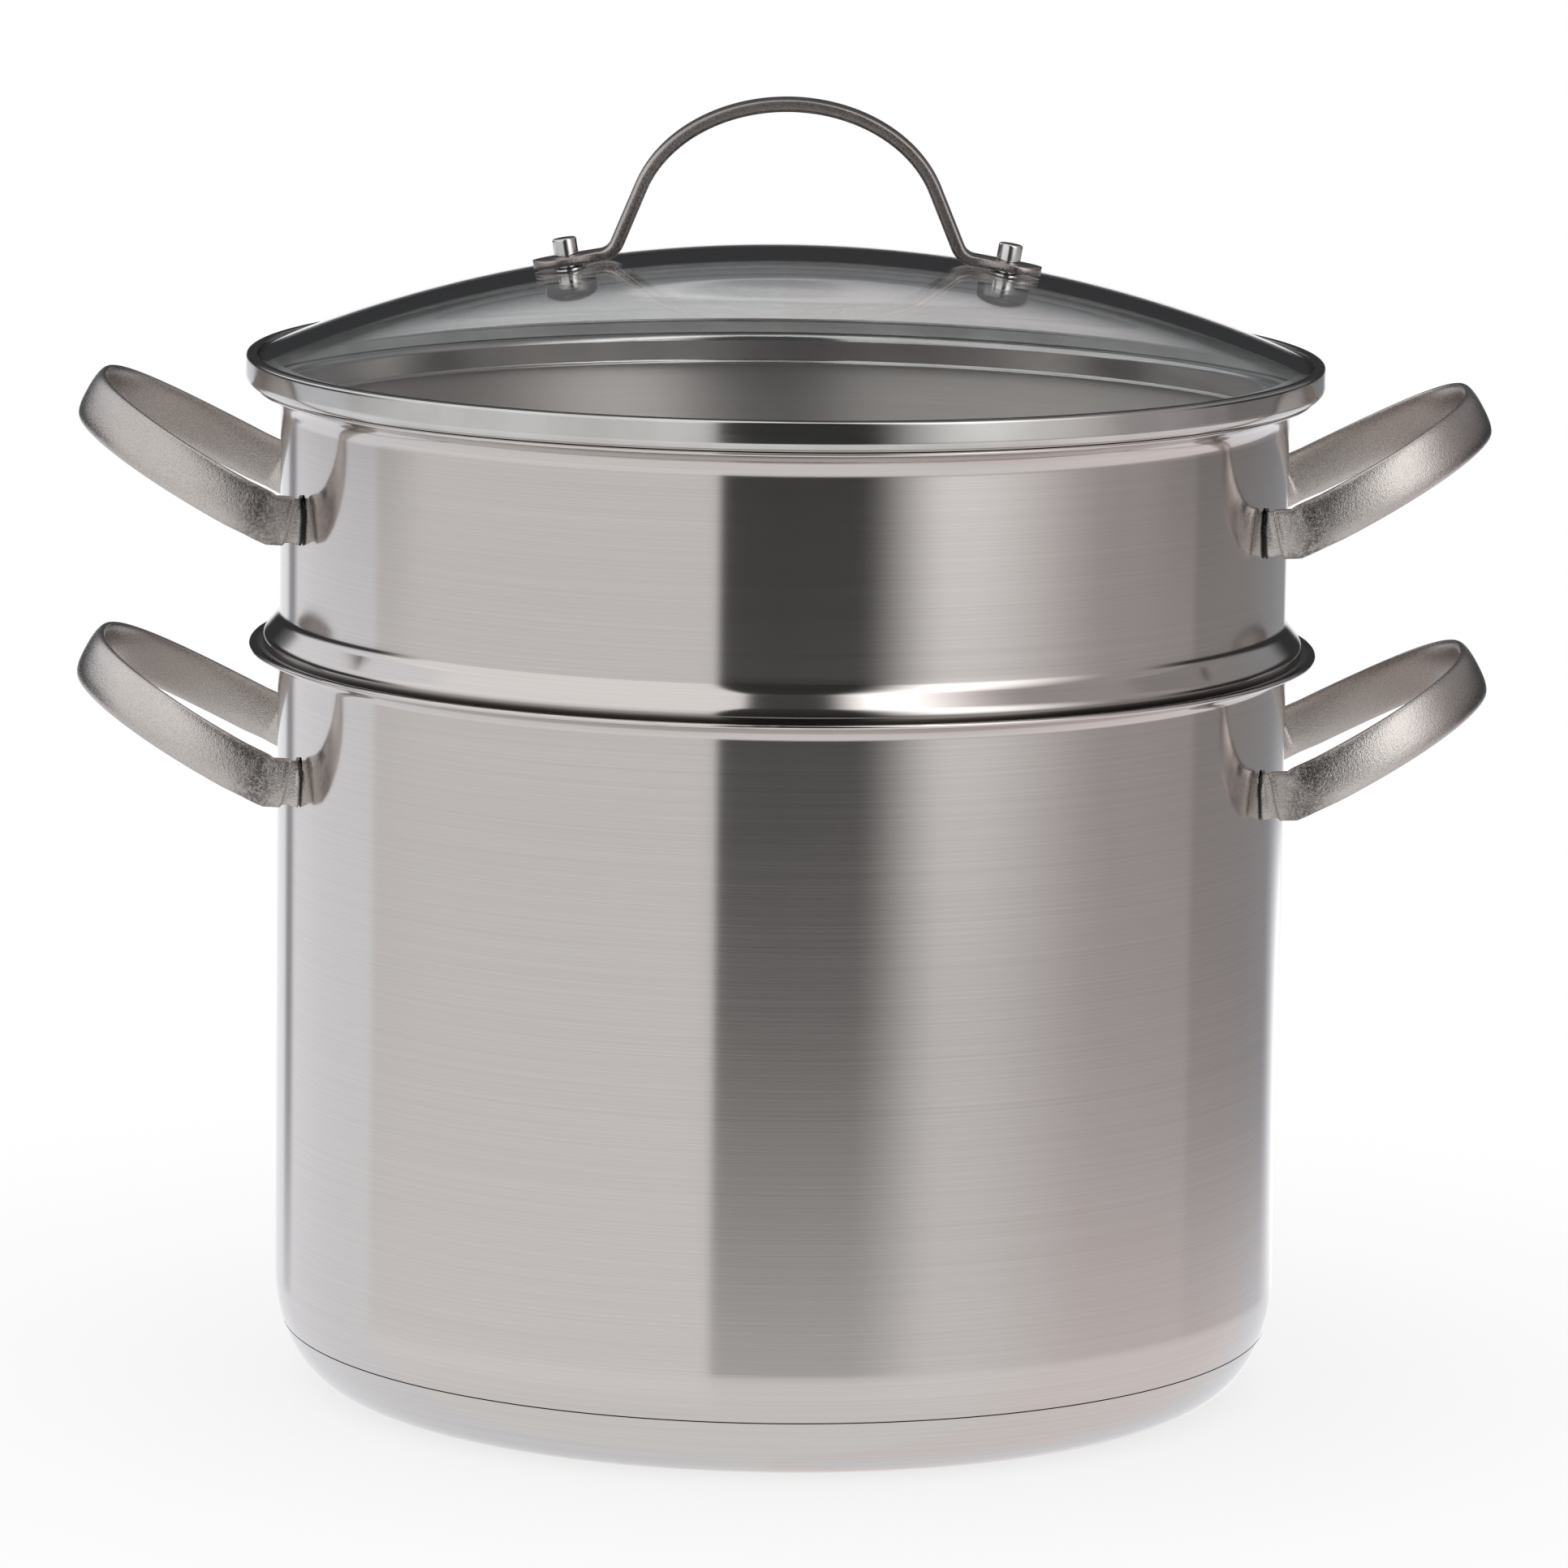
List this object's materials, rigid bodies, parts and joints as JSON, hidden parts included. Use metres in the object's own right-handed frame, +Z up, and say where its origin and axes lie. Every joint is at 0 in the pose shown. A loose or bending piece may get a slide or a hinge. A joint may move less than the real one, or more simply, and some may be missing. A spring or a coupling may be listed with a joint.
{
  "type": "stockpot with inserts",
  "caption": "Steel stockpot with a lift-out pierced pasta insert, a nested steamer basket and a domed glass lid with an arched handle.",
  "frame": {"origin": "middle of the flat base, on the surface that the pot stands on", "axes": "+Z up the pot's axis, +X through the right-hand side handles, -Y towards the viewer"},
  "size_m": [0.3388, 0.2578, 0.3105],
  "materials": {
    "pot_steel": "fine brushing round the wall",
    "insert_steel": "fine brushing round the wall",
    "steamer_steel": "satin",
    "base_steel": "smooth satin",
    "base_aluminium": "as pressed",
    "handle_steel": "blasted cast steel",
    "lid_handle_steel": "blasted cast steel",
    "wire_steel": "bright drawn wire",
    "band_steel": "polished",
    "stud_steel": "polished",
    "seal_silicone": "matt silicone",
    "lid_glass": "clear toughened glass"
  },
  "bodies": {
    "pot": {"pot_body": "pot_steel", "pot_base_core": "base_aluminium", "pot_base_cap": "base_steel", "pot_handle_left": "handle_steel", "pot_handle_right": "handle_steel"},
    "insert": {"pasta_insert": "insert_steel", "insert_handle_left": "handle_steel", "insert_handle_right": "handle_steel"},
    "steamer": {"steamer_basket": "steamer_steel", "steamer_lift_loop_left": "wire_steel", "steamer_lift_loop_right": "wire_steel"},
    "lid": {"lid_glass": "lid_glass", "lid_rim_band": "band_steel", "lid_seal": "seal_silicone", "lid_handle": "lid_handle_steel", "lid_stud_left": "stud_steel", "lid_stud_right": "stud_steel", "lid_bushing_left": "seal_silicone", "lid_bushing_right": "seal_silicone", "lid_washer_left": "stud_steel", "lid_washer_right": "stud_steel", "lid_cap_nut_left": "stud_steel", "lid_cap_nut_right": "stud_steel"}
  },
  "joints": [
    {"name": "insert_lift", "type": "slide", "parent": "pot", "child": "insert", "axis": [0, 0, 1], "range_m": [0, 0.18]},
    {"name": "steamer_lift", "type": "slide", "parent": "insert", "child": "steamer", "axis": [0, 0, 1], "range_m": [0, 0.15]},
    {"name": "lid_lift", "type": "slide", "parent": "steamer", "child": "lid", "axis": [0, 0, 1], "range_m": [0, 0.12]}
  ]
}
